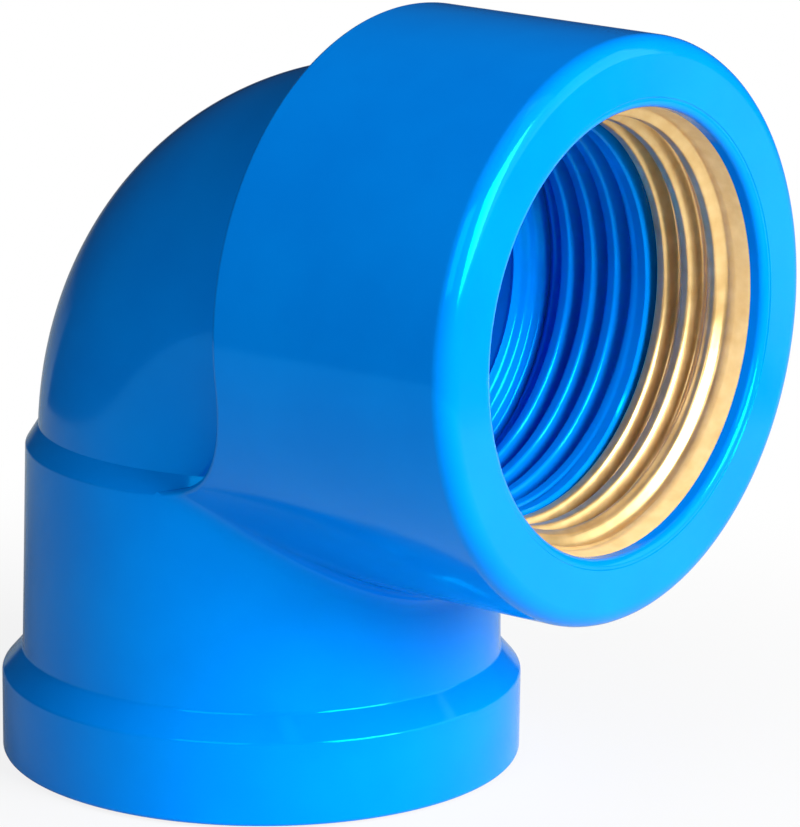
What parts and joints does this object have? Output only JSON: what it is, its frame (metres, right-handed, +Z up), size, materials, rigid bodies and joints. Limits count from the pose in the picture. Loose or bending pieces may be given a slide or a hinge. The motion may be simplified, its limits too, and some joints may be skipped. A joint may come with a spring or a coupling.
{
  "type": "pvc elbow with brass insert",
  "caption": "Blue moulded PVC pipe elbow with a collared solvent socket at one end and a female threaded boss with a moulded-in brass ring at the other.",
  "frame": {"origin": "centre of the pipe socket's end face", "axes": "+Z up the pipe socket, +X out of the threaded boss, the body mirrors about the XZ plane"},
  "size_m": [0.0457, 0.0356, 0.0492],
  "materials": {
    "pvc": "glossy moulded blue",
    "brass": "machined"
  },
  "bodies": {
    "root": {"elbow_body": "pvc", "brass_insert": "brass"}
  },
  "joints": []
}
